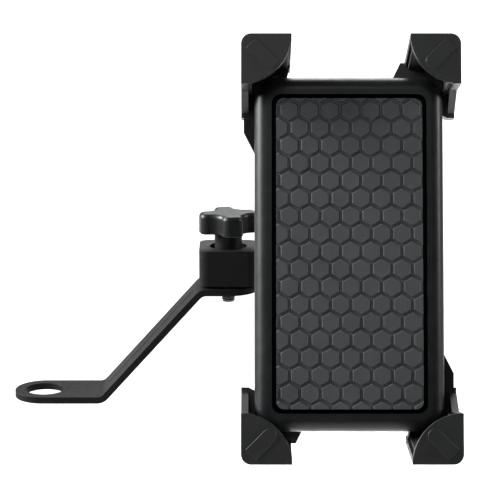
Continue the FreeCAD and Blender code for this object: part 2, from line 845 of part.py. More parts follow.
def make_back_cover():
    """Plate with its corners cut off for the claws, and walls only where no rack passes."""
    body = new_body("back_cover_body")
    half_x, half_z = "cover_wide / 2", "cover_tall / 2"
    cut_x, cut_z = "cover_cut_x", "cover_cut_z"
    plate = []
    for sx, sz, upright in (
        (1, 1, True), (1, 1, False), (-1, 1, False), (-1, 1, True),
        (-1, -1, True), (-1, -1, False), (1, -1, False), (1, -1, True),
    ):
        x = half_x if upright else f"({half_x} - {cut_x})"
        z = f"({half_z} - {cut_z})" if upright else half_z
        plate.append((f"{sx} * {x}", f"{sz} * {z}"))
    extrude(body, "plate", "XZ_Plane", lambda s: polygon(s, plate), "cover_front", "cover_back")
    fillet(body, "plate_corners", "cover_wall", lambda e: along(e, 1))
    rear = value("cover_back")
    fillet(body, "plate_edge", "cover_wall / 2", lambda e: lies(e, ymin=rear))
    walls = []
    for sign in (1, -1):
        side_x = ordered(sign, f"({half_x} - cover_wall)", half_x)
        side_z = ordered(sign, "side_wall_low", "side_wall_high")
        end_x = ordered(sign, "-end_wall_far", "end_wall_near")
        end_z = ordered(sign, f"({half_z} - cover_wall)", half_z)
        walls += [rectangle(*side_x, *side_z), rectangle(*end_x, *end_z)]
    for i, wall in enumerate(walls):
        extrude(
            body, f"wall_{i}", "XZ_Plane", lambda s: polygon(s, wall),
            "shell_deep", "cover_front + lap",
        )
    for sign in (1, -1):
        extrude(
            body, f"rack_rail_{'up' if sign > 0 else 'down'}", "XZ_Plane",
            lambda s: polygon(s, rail_outline(False, sign)),
            "rack_front_b", "cover_front + lap",
        )
    for i, place in enumerate(post_places()):
        extrude(
            body, f"post_{i}", "XZ_Plane",
            lambda s: circle(s, place, "post_dia / 2"), "shell_deep", "cover_front + lap",
        )
    for i, place in enumerate(post_places()):
        extrude(
            body, f"post_bore_{i}", "XZ_Plane",
            lambda s: circle(s, place, "cover_screw_dia / 2"), "shell_deep - past", "cover_back + past",
            cut=True,
        )
    extrude(
        body, "axle_socket", "XZ_Plane",
        lambda s: circle(s, ("0", "gear_rise"), "axle_dia / 2"),
        "cover_front - past", "cover_back - past",
        cut=True,
    )
    for i, place in enumerate(flange_places()):
        extrude(
            body, f"flange_bore_{i}", "XZ_Plane",
            lambda s: circle(s, place, "cover_screw_dia / 2"), "cover_front - past",
            "cover_back + past", cut=True,
        )
    keep(body, "back_cover", holder_place)


def make_cover_screws():
    pan_screws(
        "cover_screws", post_places(), "cover_back", "cover_back - shell_floor", holder_place,
    )


# --- rack and pinion ----------------------------------------------------------------------

PRESSURE = math.radians(25)
BACKLASH = 0.12
FLANK_STEPS = 5
SPRING_STEPS = 24  # to a turn
module = value("gear_pitch_radius * 2 / gear_teeth")
pitch = math.pi * module
addendum = 0.8 * module
dedendum = 1.05 * module


def involute(base, radius):
    """Polar angle of the involute of a base circle at a radius."""
    roll = math.sqrt(max((radius / base) ** 2 - 1, 0))
    return roll - math.atan(roll)


def pinion_section():
    """Closed outline of the pinion in x and z, with a tooth centred on the -x axis."""
    radius = value("gear_pitch_radius")
    base = radius * math.cos(PRESSURE)
    count = int(value("gear_teeth"))
    half_tooth = (pitch / 2 - BACKLASH) / 2 / radius
    rise = (radius + addendum - base) / FLANK_STEPS
    flank = [base + rise * i for i in range(FLANK_STEPS + 1)]
    at_pitch = involute(base, radius)
    points = []
    for tooth in range(count):
        middle = math.pi + 2 * math.pi * tooth / count
        rising = [(r, middle - half_tooth - at_pitch + involute(base, r)) for r in flank]
        falling = [(r, 2 * middle - turn) for r, turn in reversed(rising)]
        root = radius - dedendum
        points += [(root, rising[0][1])] + rising + falling + [(root, falling[-1][1])]
    return [Vector(r * math.cos(turn), 0, r * math.sin(turn)) for r, turn in points]


def rack_section(left):
    """Outline of a toothed bar that leads to the upper right, or upper left, corner.

    along is measured outwards from the pinion's axis and across to the left of it."""
    angle = math.radians(180 - value("rack_angle") if left else value("rack_angle"))
    out = Vector(math.cos(angle), 0, math.sin(angle))
    side = Vector(-math.sin(angle), 0, math.cos(angle))
    radius = value("gear_pitch_radius")
    tooth_turn = 2 * math.pi / value("gear_teeth")
    contact = angle + math.pi / 2 - math.pi
    offset = contact - round(contact / tooth_turn) * tooth_turn
    gap_at = radius * offset
    tip, root = radius - addendum, radius + dedendum
    tip_half = (pitch / 2 - BACKLASH) / 2 - addendum * math.tan(PRESSURE)
    root_half = (pitch / 2 - BACKLASH) / 2 + dedendum * math.tan(PRESSURE)
    outline = [(-value("rack_inner_end"), root)]
    for i in range(-int(value("rack_teeth_in")), int(value("rack_teeth_out"))):
        middle = gap_at + (i + 0.5) * pitch
        outline += [(middle - root_half, root), (middle - tip_half, tip)]
        outline += [(middle + tip_half, tip), (middle + root_half, root)]
    outline += [(value("rack_plain_start"), root), (value("rack_plain_full"), tip)]
    outline += [(value("rack_outer_end"), tip)]
    outline += [(value("rack_outer_end"), value("rack_outer_edge"))]
    outline += [(-value("rack_inner_end"), value("rack_outer_edge"))]
    return [out * a + side * b for a, b in outline]


def rack_head(left, reach):
    """Flat plate on the rack's outer end, which the claw's foot is screwed to."""
    high, low, inner = value("rack_head_high"), value("rack_head_low"), value("rack_head_inner")
    step = value("rack_head_step")
    corners = [(reach, high), (inner, high), (inner, low + step), (reach - step, low), (reach, low)]
    sign = -1 if left else 1
    return [Vector(sign * x, 0, z) for x, z in corners]


def prism(points, front, back):
    """An outline in x and z, run between two depths; its corners are taken anticlockwise."""
    pairs = zip(points, points[1:] + points[:1])
    if sum(a.x * b.z - b.x * a.z for a, b in pairs) < 0:
        points = points[::-1]
    outline = [point + Vector(0, front, 0) for point in points]
    return Part.Face(Part.makePolygon(outline + outline[:1])).extrude(Vector(0, back - front, 0))


def make_rack(node, left, flipped):
    front = value("rack_front_a" if left else "rack_front_b")
    feature = doc.addObject("Part::Feature", f"{node}_bar")
    back = front + value("rack_thick")
    reach = value("claw_x - claw_wall / 3")
    tall, depth = value("claw_z"), value("cover_back")
    room = Part.makeBox(2 * reach, depth, 2 * tall, Vector(-reach, 0, -tall))
    bar = prism(rack_section(left), front, back).common(room)
    shape = bar.fuse(prism(rack_head(left, reach), front, back)).removeSplitter()
    for x, z in claw_screw_places(left):
        hole = Part.makeCylinder(
            value("claw_screw_dia / 2"), depth, Vector(x, 0, z), Vector(0, 1, 0)
        )
        shape = shape.cut(hole)
    feature.Shape = shape
    return keep(feature, node, gear_flipped if flipped else gear_place)


def make_pinion():
    front, back = value("pinion_front"), value("pinion_back")
    gear = prism(pinion_section(), front, back)
    hub_front = value("hub_front")
    axis = Vector(0, 1, 0)
    start = Vector(0, hub_front, 0)
    hub = Part.makeCylinder(value("hub_dia / 2"), front - hub_front, start, axis)
    bore = Part.makeCylinder(value("axle_dia / 2 + running_gap"), value("cover_back"), Vector(), axis)
    feature = doc.addObject("Part::Feature", "pinion_gear")
    feature.Shape = gear.fuse(hub).cut(bore).removeSplitter()
    keep(feature, "pinion", gear_place)


def make_axle():
    rod = solid(
        "Cylinder", "axle_rod", Radius="axle_dia / 2", Height="cover_back - shell_floor",
    )
    start = Placement(Vector(0, value("shell_floor - past"), 0), Rotation(Vector(1, 0, 0), -90))
    keep(rod, "pinion_axle", gear_place.multiply(start))


def make_return_spring():
    """Flat clock spring round the pinion's hub: a spiral strip."""
    inner, step = value("spring_inner"), value("spring_pitch")
    turns, strip = value("spring_turns"), value("spring_strip")
    steps = int(turns * SPRING_STEPS)
    sides = []
    for grow in (0.0, strip):
        sides.append([
            Vector(
                (inner + grow + step * turns * i / steps) * math.cos(2 * math.pi * turns * i / steps),
                0,
                (inner + grow + step * turns * i / steps) * math.sin(2 * math.pi * turns * i / steps),
            )
            for i in range(steps + 1)
        ])
    front = value("hub_front + part_gap")
    feature = doc.addObject("Part::Feature", "spring_strip_coil")
    feature.Shape = prism(sides[0] + sides[1][::-1], front, value("shell_deep - part_gap"))
    keep(feature, "return_spring", gear_place)


# --- claws --------------------------------------------------------------------------------

def claw_screw_places(left):
    """Two screws through the rack's head plate, in the holder's x and z."""
    sign = -1 if left else 1
    return [
        (sign * value("claw_screw_outer_x"), value("claw_screw_outer_z")),
        (sign * value("claw_screw_inner_x"), value("claw_screw_inner_z")),
    ]


def make_claw(node, left, flipped, rack):
    """Corner claw: quarter-round lip, side wall, slanted end wall and a foot on the rack."""
    body = new_body(f"{node}_body")
    s = "-1" if left else "1"
    x_out, x_in = f"{s} * claw_x", f"{s} * (claw_x - claw_span)"
    x_wall = f"{s} * (claw_x - claw_wall)"
    z_out, z_in = "claw_z", "(claw_z - claw_span)"
    foot_front, foot_back = "rack_front_a", "(rack_front_b + rack_thick)"
    slope = f"claw_slant / (claw_front + {foot_back})"

    def top_at(y):
        return f"(claw_z - {slope} * (claw_front + ({y})))"

    lip_front, lip_back = "-claw_front", "(lip_thick - claw_front)"
    extrude(
        body, "lip", "XZ_Plane",
        lambda k: polygon(k, [(x_out, z_out), (x_in, z_out), (x_in, z_in), (x_out, z_in)]),
        lip_front, lip_back,
    )
    inner_x, inner_z = value(x_in), value(z_in)
    fillet(
        body, "lip_quarter_round", "claw_span - running_gap",
        lambda e: along(e, 1) and abs(e.CenterOfMass.x - inner_x) < 0.1
        and abs(e.CenterOfMass.z - inner_z) < 0.1,
    )
    side_view = [
        (lip_front, z_out), (lip_front, z_in), ("0", "claw_foot_step"),
        (foot_front, "claw_foot_low + claw_foot_lip"), (foot_front, "claw_foot_low"),
        (foot_back, "claw_foot_low"), (foot_back, top_at(foot_back)),
    ]
    x_pair = sorted([x_wall, x_out], key=value)
    extrude(
        body, "side_wall", "YZ_Plane", lambda k: polygon(k, side_view), x_pair[0], x_pair[1],
    )
    end_view = [
        (lip_front, z_out), (lip_front, f"{z_out} - claw_wall"),
        (foot_back, f"{top_at(foot_back)} - claw_wall"), (foot_back, top_at(foot_back)),
    ]
    x_pair_end = sorted([x_in, x_out], key=value)
    extrude(
        body, "end_wall", "YZ_Plane", lambda k: polygon(k, end_view),
        x_pair_end[0], x_pair_end[1],
    )
    tip_x, near_x = "claw_foot_tip_x", "claw_foot_x"
    if left:
        tip_x, near_x = "claw_foot_far_tip_x", "claw_foot_far_x"
    foot = [
        (x_out, top_at(foot_back)), (f"{s} * {tip_x}", top_at(foot_back)),
        (f"{s} * {near_x}", "claw_foot_inner"),
        (x_wall, "claw_foot_low"), (x_out, "claw_foot_low"),
    ]
    extrude(body, "foot", "XZ_Plane", lambda k: polygon(k, foot), foot_front, foot_back)
    before, after = f"({lip_front} - past)", f"({foot_back} + past)"
    over = [
        (before, top_at(before)), (after, top_at(after)),
        (after, "claw_z + lip_thick"), (before, "claw_z + lip_thick"),
    ]
    extrude(
        body, "slant", "YZ_Plane", lambda k: polygon(k, over), "-claw_x - past", "claw_x + past",
        cut=True,
    )
    far = value("claw_x")
    fillet(
        body, "outer_corner", "claw_corner",
        lambda e: abs(abs(e.CenterOfMass.x) - far) < 0.01
        and e.BoundBox.YLength > value("claw_front") and e.BoundBox.ZMin > value("claw_foot_inner"),
    )
    half = "rib_wide / 2 * sqrt(2) / 2"
    centre_x, centre_z = "(claw_x - rib_reach)", "(claw_z - rib_reach)"
    rib = [
        (f"{s} * ({centre_x} + {half})", f"{centre_z} - {half}"),
        (f"{s} * (claw_x - rib_near)", f"claw_z - rib_near - 2 * {half}"),
        (f"{s} * (claw_x - rib_near - 2 * {half})", "claw_z - rib_near"),
        (f"{s} * ({centre_x} - {half})", f"{centre_z} + {half}"),
    ]
    rib_front, rib_back = "-claw_front - rib_proud", "lap - claw_front"
    extrude(body, "rib_bar", "XZ_Plane", lambda k: polygon(k, rib), rib_front, rib_back)
    extrude(
        body, "rib_end", "XZ_Plane",
        lambda k: circle(k, (f"{s} * {centre_x}", centre_z), "rib_wide / 2"), rib_front, rib_back,
    )
    for i, (x, z) in enumerate(claw_screw_places(left)):
        extrude(
            body, f"screw_bore_{i}", "XZ_Plane",
            lambda k: circle(k, (str(x), str(z)), "claw_screw_dia / 2"),
            f"{foot_front} - past", f"{foot_back} + past", cut=True,
        )
    body.Placement = gear_flipped if flipped else gear_place
    keep(subtract(f"{node}_cut", body, [rack]), node)


def make_liner(node, left, flipped):
    """Rubber lining on the inside of a claw's two walls."""
    body = new_body(f"{node}_body")
    s = "-1" if left else "1"
    foot_front, foot_back = "rack_front_a", "(rack_front_b + rack_thick)"
    slope = f"claw_slant / (claw_front + {foot_back})"
    start, end = "(lip_thick - claw_front)", f"({foot_front} - liner_gap)"

    def under_at(y):
        return f"(claw_z - claw_wall - {slope} * (claw_front + ({y})))"

    x_face = f"{s} * (claw_x - claw_wall)"
    x_inner = f"{s} * (claw_x - claw_wall - liner_thick)"
    x_short = f"{s} * (claw_x - claw_span + liner_inset)"
    side_view = [
        (start, under_at(start)), (start, "claw_z - claw_span + 2 * liner_inset"),
        (end, "claw_foot_step"), (end, under_at(end)),
    ]
    pair = sorted([x_face, x_inner], key=value)
    extrude(body, "side", "YZ_Plane", lambda k: polygon(k, side_view), pair[0], pair[1])
    end_view = [
        (start, under_at(start)), (start, f"{under_at(start)} - liner_thick"),
        (end, f"{under_at(end)} - liner_thick"), (end, under_at(end)),
    ]
    pair_end = sorted([x_face, x_short], key=value)
    extrude(body, "end", "YZ_Plane", lambda k: polygon(k, end_view), pair_end[0], pair_end[1])
    keep(body, node, gear_flipped if flipped else gear_place)


def make_claw_screws(node, left, flipped):
    """Two screws from behind, through foot and rack."""
    screws = []
    head_low = value("rack_front_b + rack_thick")
    for i, (x, z) in enumerate(claw_screw_places(left)):
        head = solid(
            "Cylinder", f"{node}_head_{i}", Radius="screw_head_dia / 2", Height="screw_head_tall",
        )
        shank = solid(
            "Cylinder", f"{node}_shank_{i}",
            ("0", "0", "rack_front_a - rack_front_b - rack_thick"),
            Radius="claw_screw_dia / 2", Height="rack_front_b + rack_thick - rack_front_a",
        )
        screw = fuse(f"{node}_{i}", [head, shank])
        screw.Placement = Placement(Vector(x, head_low, z), Rotation(Vector(1, 0, 0), -90))
        screws.append(screw)
    keep(group(f"{node}_group", screws), node, gear_flipped if flipped else gear_place)


def make_corners():
    """Top claws are drawn in place; each bottom claw is the opposite top one, half a turn on."""
    corners = {
        "top_right": (False, False), "bottom_left": (False, True),
        "top_left": (True, False), "bottom_right": (True, True),
    }
    for corner, (left, flipped) in corners.items():
        rack = make_rack(f"rack_{corner}", left, flipped)
        make_claw(f"claw_{corner}", left, flipped, rack)
        make_liner(f"liner_{corner}", left, flipped)
        make_claw_screws(f"claw_screws_{corner}", left, flipped)


# --- build, check and export --------------------------------------------------------------

def faults():
    """Objects that failed to recompute and sub-parts without a sound shape."""
    found = []
    for feature in doc.Objects:
        if "Invalid" in feature.State or "Error" in feature.State:
            found.append(f"{feature.Name}: {feature.State}")
    for feature in subparts:
        shape = feature.Shape
        if shape.isNull() or not shape.isValid() or shape.Volume <= 0:
            found.append(f"{feature.Label}: no sound shape")
    return found


def main():
    make_bracket()
    make_press_nut()
    make_lock_washer()
    make_knob_screw()
    make_cup_washer()
    make_knob()
    make_arm()
    make_ball_stud()
    seat("rear_seat", "rear_seat_low", "rear_seat_high")
    seat("front_seat", "-ball_radius * 2", "front_seat_high")
    make_socket_flange()
    make_ring_nut()
    make_flange_screws()
    make_front_shell()
    make_pad_tray()
    make_pad()
    make_back_cover()
    make_cover_screws()
    make_pinion()
    make_axle()
    make_return_spring()
    make_corners()
    doc.recompute()
    problems = faults()
    if problems:
        raise SystemExit("\n".join(problems))
    os.makedirs("parts", exist_ok=True)
    for feature in subparts:
        feature.Shape.exportStep(f"parts/{feature.Label}.step")
        print(f"{feature.Label}: {len(feature.Shape.Solids)} solid, {feature.Shape.Volume:.0f} mm3")


main()
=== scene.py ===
import json
import math

import bmesh
import bpy
from mathutils import Matrix, Vector


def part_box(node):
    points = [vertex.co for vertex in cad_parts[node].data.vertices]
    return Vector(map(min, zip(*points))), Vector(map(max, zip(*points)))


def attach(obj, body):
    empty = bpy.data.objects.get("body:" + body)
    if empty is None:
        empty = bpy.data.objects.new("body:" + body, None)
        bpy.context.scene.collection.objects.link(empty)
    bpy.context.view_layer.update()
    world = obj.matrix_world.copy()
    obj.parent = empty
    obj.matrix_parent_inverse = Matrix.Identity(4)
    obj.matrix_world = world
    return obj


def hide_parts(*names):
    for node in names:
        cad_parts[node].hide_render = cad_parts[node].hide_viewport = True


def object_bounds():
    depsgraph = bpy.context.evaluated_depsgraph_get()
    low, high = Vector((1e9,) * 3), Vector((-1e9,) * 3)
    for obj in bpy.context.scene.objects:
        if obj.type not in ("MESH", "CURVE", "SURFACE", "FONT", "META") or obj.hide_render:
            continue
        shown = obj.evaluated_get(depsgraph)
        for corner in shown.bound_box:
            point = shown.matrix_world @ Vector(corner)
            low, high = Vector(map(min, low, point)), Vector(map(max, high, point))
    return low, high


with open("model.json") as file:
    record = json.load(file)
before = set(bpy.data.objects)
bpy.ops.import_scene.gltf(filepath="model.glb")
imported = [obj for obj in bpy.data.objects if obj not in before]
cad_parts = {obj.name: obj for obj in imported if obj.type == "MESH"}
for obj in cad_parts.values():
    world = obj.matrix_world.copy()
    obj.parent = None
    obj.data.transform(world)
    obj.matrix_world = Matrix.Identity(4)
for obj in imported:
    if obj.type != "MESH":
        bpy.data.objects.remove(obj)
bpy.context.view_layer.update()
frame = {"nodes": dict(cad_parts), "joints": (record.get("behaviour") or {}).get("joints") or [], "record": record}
mm = 0.001

joints = {joint["name"]: joint for joint in frame["joints"]}
corners = ("top_left", "top_right", "bottom_left", "bottom_right")

# the holder leans back, so its pieces are drawn flat and then laid on this frame
backward = Vector(joints["pinion_turn"]["axis"]).normalized()
across = Vector((1, 0, 0))
upward = backward.cross(across) * -1
pinionPlace = {"behindFront": 12 * mm, "aboveMiddle": 0.9 * mm}
holderFront = Vector(joints["pinion_turn"]["pos_m"]) - backward * pinionPlace["behindFront"]
holderFront -= upward * pinionPlace["aboveMiddle"]
holderTurn = Matrix((across, upward, -backward)).transposed().to_4x4()
holderFrame = Matrix.Translation(holderFront) @ holderTurn


def intoHolder(mesh):  # x right, y up, z out of the front face
    mesh.transform(holderFrame)
    mesh.update()


def inHolder(node):  # a node's box in the holder's flat frame
    points = [holderFrame.inverted() @ v.co for v in frame["nodes"][node].data.vertices]
    low = Vector([min(p[i] for p in points) for i in range(3)])
    high = Vector([max(p[i] for p in points) for i in range(3)])
    return low, high


def newMaterial(name):
    material = bpy.data.materials.new(name)
    material.use_nodes = True
    tree = material.node_tree
    shader = tree.nodes["Principled BSDF"]
    return material, tree, shader


def place(tree, kind, **settings):
    node = tree.nodes.new(kind)
    for key, value in settings.items():
        setattr(node, key, value)
    return node


def noiseOn(tree, scale, detail=3.0, rough=0.5):
    coords = place(tree, "ShaderNodeTexCoord")
    noise = place(tree, "ShaderNodeTexNoise")
    noise.inputs["Scale"].default_value = scale
    noise.inputs["Detail"].default_value = detail
    noise.inputs["Roughness"].default_value = rough
    tree.links.new(coords.outputs["Object"], noise.inputs["Vector"])
    return noise.outputs["Fac"]


def rampOf(tree, source, low, high, start=0.3, end=0.7):
    ramp = place(tree, "ShaderNodeValToRGB")
    ramp.color_ramp.elements[0].position = start
    ramp.color_ramp.elements[1].position = end
    ramp.color_ramp.elements[0].color = low
    ramp.color_ramp.elements[1].color = high
    tree.links.new(source, ramp.inputs["Fac"])
    return ramp.outputs["Color"]


def bumpFrom(tree, shader, source, strength, depth, before=None):
    bump = place(tree, "ShaderNodeBump")
    bump.inputs["Strength"].default_value = strength
    bump.inputs["Distance"].default_value = depth
    tree.links.new(source, bump.inputs["Height"])
    if before:
        tree.links.new(before, bump.inputs["Normal"])
    tree.links.new(bump.outputs["Normal"], shader.inputs["Normal"])
    return bump.outputs["Normal"]


def grey(level, tint=0.0):
    return (level * (1 - tint), level, level * (1 + tint), 1)


plasticLooks = {
    "holderPlastic": {
        "colour": 0.0022, "tint": 0.10, "rough": 0.37, "gloss": 0.12,
        "grain": 2600, "grainDepth": 0.10,
    },
    "clawPlastic": {
        "colour": 0.0030, "tint": 0.08, "rough": 0.44, "gloss": 0.17,
        "grain": 2400, "grainDepth": 0.14,
    },
    "armNylon": {
        "colour": 0.0022, "tint": 0.05, "rough": 0.48, "gloss": 0.05,
        "grain": 1700, "grainDepth": 0.12,
    },
    "knobNylon": {
        "colour": 0.0025, "tint": 0.06, "rough": 0.40, "gloss": 0.10,
        "grain": 2000, "grainDepth": 0.10,
    },
}


mouldMarks = {
    "blotch": 55, "darkest": 0.85, "lightest": 1.2,  # slow change of colour
    "wear": 240, "smoother": 0.05, "rougher": 0.07,  # rubbed and dull places
    "flow": 90, "flowDepth": 0.05,                   # faint waves from the mould
}


def mouldedPlastic(name):
    look = plasticLooks[name]
    material, tree, shader = newMaterial(name)
    blotch = noiseOn(tree, mouldMarks["blotch"], 4)
    low = grey(look["colour"] * mouldMarks["darkest"], look["tint"])
    high = grey(look["colour"] * mouldMarks["lightest"], look["tint"])
    tree.links.new(rampOf(tree, blotch, low, high), shader.inputs["Base Color"])
    wear = noiseOn(tree, mouldMarks["wear"], 5, 0.6)
    smooth = grey(look["rough"] - mouldMarks["smoother"])
    dull = grey(look["rough"] + mouldMarks["rougher"])
    tree.links.new(rampOf(tree, wear, smooth, dull), shader.inputs["Roughness"])
    shader.inputs["Specular IOR Level"].default_value = look["gloss"]
    grain = noiseOn(tree, look["grain"], 2)
    waves = noiseOn(tree, mouldMarks["flow"], 2)
    flow = bumpFrom(tree, shader, waves, mouldMarks["flowDepth"], 0.4 * mm)
    bumpFrom(tree, shader, grain, look["grainDepth"], 0.15 * mm, flow)
    return material


coat = {
    "colour": (0.0025, 0.0045), "rough": (0.46, 0.60), "gloss": 0.025,
    "peel": 900, "grit": 3200,
}


def powderCoat():
    material, tree, shader = newMaterial("powderCoat")
    low, high = (grey(level) for level in coat["colour"])
    tree.links.new(rampOf(tree, noiseOn(tree, 70, 4), low, high), shader.inputs["Base Color"])
    smooth, dull = (grey(level) for level in coat["rough"])
    wear = noiseOn(tree, 400, 4, 0.6)
    tree.links.new(rampOf(tree, wear, smooth, dull), shader.inputs["Roughness"])
    shader.inputs["Specular IOR Level"].default_value = coat["gloss"]
    peel = bumpFrom(tree, shader, noiseOn(tree, coat["peel"], 3), 0.16, 0.2 * mm)
    bumpFrom(tree, shader, noiseOn(tree, coat["grit"], 2), 0.10, 0.1 * mm, peel)
    return material


silicone = {"colour": (0.0074, 0.0118), "tint": 0.12, "rough": (0.52, 0.66), "gloss": 0.3}


def siliconeRubber():
    material, tree, shader = newMaterial("siliconeRubber")
    dust = noiseOn(tree, 120, 6, 0.65)
    low, high = (grey(level, silicone["tint"]) for level in silicone["colour"])
    tree.links.new(rampOf(tree, dust, low, high), shader.inputs["Base Color"])
    smooth, dull = (grey(level) for level in silicone["rough"])
    tree.links.new(rampOf(tree, noiseOn(tree, 700, 4), smooth, dull), shader.inputs["Roughness"])
    shader.inputs["Specular IOR Level"].default_value = silicone["gloss"]
    bumpFrom(tree, shader, noiseOn(tree, 2800, 3), 0.12, 0.12 * mm)
    return material


def linerRubber():
    material, tree, shader = newMaterial("linerRubber")
    dust = noiseOn(tree, 150, 5)
    tree.links.new(rampOf(tree, dust, grey(0.006), grey(0.011)), shader.inputs["Base Color"])
    shader.inputs["Roughness"].default_value = 0.7
    shader.inputs["Specular IOR Level"].default_value = 0.2
    bumpFrom(tree, shader, noiseOn(tree, 1900, 3), 0.15, 0.15 * mm)
    return material


def metal(name, level, rough, scratch):
    material, tree, shader = newMaterial(name)
    tree.links.new(
        rampOf(tree, noiseOn(tree, 260, 5), grey(level * 0.8), grey(level * 1.2)),
        shader.inputs["Base Color"],
    )
    shader.inputs["Metallic"].default_value = 1.0
    tree.links.new(
        rampOf(tree, noiseOn(tree, 900, 5, 0.7), grey(rough - 0.08), grey(rough + 0.1)),
        shader.inputs["Roughness"],
    )
    bumpFrom(tree, shader, noiseOn(tree, 1400, 4), scratch, 0.08 * mm)
    return material


def acetal():
    material, tree, shader = newMaterial("acetal")
    tree.links.new(
        rampOf(tree, noiseOn(tree, 90, 3), (0.60, 0.58, 0.53, 1), (0.68, 0.66, 0.61, 1)),
        shader.inputs["Base Color"],
    )
    shader.inputs["Roughness"].default_value = 0.3
    shader.inputs["Subsurface Weight"].default_value = 0.08
    bumpFrom(tree, shader, noiseOn(tree, 1500, 2), 0.04, 0.1 * mm)
    return material


materials = {name: mouldedPlastic(name) for name in plasticLooks}
materials["powderCoat"] = powderCoat()
materials["siliconeRubber"] = siliconeRubber()
materials["linerRubber"] = linerRubber()
materials["blackOxide"] = metal("blackOxide", 0.035, 0.36, 0.10)
materials["springSteel"] = metal("springSteel", 0.55, 0.28, 0.05)
materials["acetal"] = acetal()


# painted shade: a near-black, almost unreflective material that stands in for the shadow in the gap round the pad
def recessPaintedShade():
    material, _, shader = newMaterial("recessPaintedShade")
    shader.inputs["Base Color"].default_value = grey(0.0006)
    shader.inputs["Roughness"].default_value = 0.8
    shader.inputs["Specular IOR Level"].default_value = 0.02
    return material


materials["recessPaintedShade"] = recessPaintedShade()
print("materials made:", len(materials))

nodeMaterials = {
    "bracket": "powderCoat", "press_nut": "blackOxide", "lock_washer": "blackOxide",
    "knob_screw": "blackOxide", "cup_washer": "blackOxide", "knob": "knobNylon", "arm": "armNylon",
    "ball_stud": "armNylon", "rear_seat": "acetal", "front_seat": "acetal",
    "socket_flange": "armNylon", "ring_nut": "knobNylon", "flange_screws": "blackOxide",
    "front_shell": "holderPlastic", "pad_tray": "holderPlastic", "pad": "siliconeRubber",
    "back_cover": "holderPlastic", "cover_screws": "blackOxide", "pinion": "acetal",
    "pinion_axle": "blackOxide", "return_spring": "springSteel",
}
for corner in corners:
    nodeMaterials["rack_" + corner] = "armNylon"
    nodeMaterials["claw_" + corner] = "clawPlastic"
    nodeMaterials["liner_" + corner] = "linerRubber"
    nodeMaterials["claw_screws_" + corner] = "blackOxide"
for node, look in nodeMaterials.items():
    mesh = frame["nodes"][node].data
    mesh.materials.clear()
    mesh.materials.append(materials[look])

bodies = frame["record"]["behaviour"]["bodies"]
bodyOf = {node: body for body, nodes in bodies.items() for node in nodes}


def newPiece(name, mesh):
    piece = bpy.data.objects.new(name, mesh)
    bpy.context.scene.collection.objects.link(piece)
    return piece


def settled(piece):  # turns live modifiers into a plain mesh
    bpy.context.view_layer.update()
    evaluated = piece.evaluated_get(bpy.context.evaluated_depsgraph_get())
    mesh = bpy.data.meshes.new_from_object(evaluated)
    piece.modifiers.clear()
    piece.data = mesh
    return piece


def standFor(piece, node, *others):
    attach(piece, bodyOf[node])
    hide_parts(node, *others)


skin = {"weld": 1e-6, "flat": 0.4, "crisp": 32, "bevelFrom": 38, "bevelSteps": 3}


def joined(mesh):  # one skin from loose triangles, with crisp shading across real edges
    bm = bmesh.new()
    bm.from_mesh(mesh)
    bmesh.ops.remove_doubles(bm, verts=bm.verts, dist=skin["weld"])
    flat = math.radians(skin["flat"])
    bmesh.ops.dissolve_limit(bm, angle_limit=flat, verts=bm.verts, edges=bm.edges)
    crisp = math.radians(skin["crisp"])
    for edge in bm.edges:
        edge.smooth = len(edge.link_faces) == 2 and edge.calc_face_angle(0) < crisp
    for face in bm.faces:
        face.smooth = True
    bm.to_mesh(mesh)
    bm.free()


# rounded edge in mm for each piece that a mould or a press leaves soft
softEdges = {"bracket": 0.35, "arm": 0.5, "knob": 0.35, "front_shell": 0.25, "back_cover": 0.3}
softEdges.update({"claw_" + corner: 0.4 for corner in corners})
softEdges.update({"liner_" + corner: 0.25 for corner in corners})
softEdges.update({"ring_nut": 0.25, "socket_flange": 0.3})


def softened(node, edge):
    mesh = frame["nodes"][node].data.copy()
    joined(mesh)
    piece = newPiece(node + "Soft", mesh)
    bevel = piece.modifiers.new("edges", "BEVEL")
    bevel.width = edge * mm
    bevel.segments = skin["bevelSteps"]
    bevel.limit_method = "ANGLE"
    bevel.angle_limit = math.radians(skin["bevelFrom"])
    bevel.use_clamp_overlap = True
    bevel.harden_normals = False
    bevel.miter_outer = "MITER_ARC"
    flow = piece.modifiers.new("shading", "WEIGHTED_NORMAL")
    flow.keep_sharp = True
    settled(piece)
    standFor(piece, node)


for node, edge in softEdges.items():
    softened(node, edge)


def paintRecessShade():  # painted shade: the moulded step round the pad gets a near-black material that stands in for the shadow in the gap
    piece = bpy.data.objects["front_shellSoft"]
    piece.data.materials.append(materials["recessPaintedShade"])
    inward = holderFrame.inverted()
    high = inHolder("pad")[1]
    for face in piece.data.polygons:
        middle = inward @ face.center
        besidePad = abs(middle.x) < high.x + recess["reach"]
        alongPad = abs(middle.y) < high.y + recess["reach"]
        # faces of the step below the lip get the painted shade
        if besidePad and alongPad and middle.z < -recess["lip"]:
            face.material_index = 1


recess = {"reach": 2.0 * mm, "lip": 0.12 * mm}
paintRecessShade()
print("softened pieces:", len(softEdges))


honeycomb = {
    "pitch": 6.89,          # middle to middle along a row, mm
    "cell": 6.10,           # flat to flat
    "wallLean": 0.22,
    "height": 0.55,
    "crown": 0.93,
    "columns": 9,
    "rows": 21,
    "shiftX": 0.4,
    "shiftY": 0.6,
    "corner": 2.6,
}


def geometryTree(name, sockets):
    tree = bpy.data.node_groups.new(name, "GeometryNodeTree")
    for label, kind, value in sockets:
        socket = tree.interface.new_socket(name=label, in_out="INPUT", socket_type=kind)
        if value is not None:
            socket.default_value = value
    tree.interface.new_socket(name="Geometry", in_out="OUTPUT", socket_type="NodeSocketGeometry")
    return tree, tree.nodes.new("NodeGroupInput"), tree.nodes.new("NodeGroupOutput")


